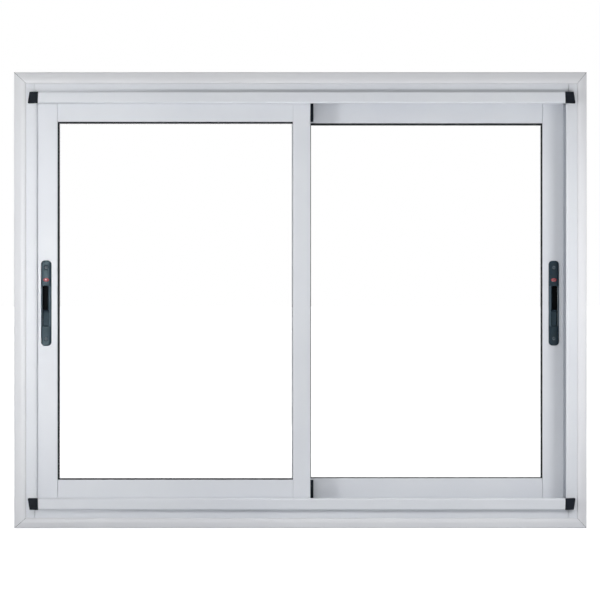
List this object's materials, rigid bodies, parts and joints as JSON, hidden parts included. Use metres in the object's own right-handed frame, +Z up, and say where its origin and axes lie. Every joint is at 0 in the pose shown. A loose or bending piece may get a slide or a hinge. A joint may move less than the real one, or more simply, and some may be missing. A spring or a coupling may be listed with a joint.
{
  "type": "horizontal sliding window",
  "caption": "Aluminium sliding window: a trimmed frame with side-by-side tracks and glazed sashes that roll past each other, each with a flush pull and a thumb latch.",
  "frame": {"origin": "centre of the sill's flat underside", "axes": "+X along the window to the right as seen from the room, +Y from the room to the outside, +Z up"},
  "size_m": [1.2, 0.0862, 0.956],
  "materials": {
    "white_coat": "white powder coat, satin",
    "white_trim": "white powder coat, satin",
    "clear_glass": "clear float glass",
    "spacer_metal": "mill finish",
    "dark_gasket": "matte black rubber",
    "grey_nylon": "moulded nylon",
    "dark_handle": "satin dark blue-grey",
    "red_indicator": "glossy red",
    "black_cap": "moulded black",
    "grey_pile": "woven pile"
  },
  "bodies": {
    "frame": {"frame_sill": "white_coat", "frame_head": "white_coat", "frame_jamb_left": "white_coat", "frame_jamb_right": "white_coat", "trim_bottom": "white_trim", "trim_top": "white_trim", "trim_left": "white_trim", "trim_right": "white_trim", "corner_cap_bottom_left": "black_cap", "corner_cap_bottom_right": "black_cap", "corner_cap_top_left": "black_cap", "corner_cap_top_right": "black_cap"},
    "front_sash": {"front_handle_stile": "white_coat", "front_meeting_stile": "white_coat", "front_bottom_rail": "white_coat", "front_top_rail": "white_coat", "front_glass": "clear_glass", "front_spacer": "spacer_metal", "front_gasket": "dark_gasket", "front_rollers": "grey_nylon", "front_top_guides": "grey_nylon", "front_handle_case": "dark_handle", "front_lock_indicator": "red_indicator", "front_end_blocks": "black_cap", "front_pile_strips": "grey_pile"},
    "rear_sash": {"rear_handle_stile": "white_coat", "rear_meeting_stile": "white_coat", "rear_bottom_rail": "white_coat", "rear_top_rail": "white_coat", "rear_glass": "clear_glass", "rear_spacer": "spacer_metal", "rear_gasket": "dark_gasket", "rear_rollers": "grey_nylon", "rear_top_guides": "grey_nylon", "rear_handle_case": "dark_handle", "rear_lock_indicator": "red_indicator", "rear_end_blocks": "black_cap", "rear_pile_strips": "grey_pile"},
    "front_latch": {"front_latch_slider": "dark_handle"},
    "rear_latch": {"rear_latch_slider": "dark_handle"}
  },
  "joints": [
    {"name": "front_sash_slide", "type": "slide", "parent": "frame", "child": "front_sash", "axis": [1, 0, 0], "range_m": [0, 0.535]},
    {"name": "rear_sash_slide", "type": "slide", "parent": "frame", "child": "rear_sash", "axis": [-1, 0, 0], "range_m": [-0.0024, 0.5326]},
    {"name": "front_latch_slide", "type": "slide", "parent": "front_sash", "child": "front_latch", "axis": [0, 0, 1], "range_m": [0, 0.012]},
    {"name": "rear_latch_slide", "type": "slide", "parent": "rear_sash", "child": "rear_latch", "axis": [0, 0, 1], "range_m": [0, 0.012]}
  ]
}
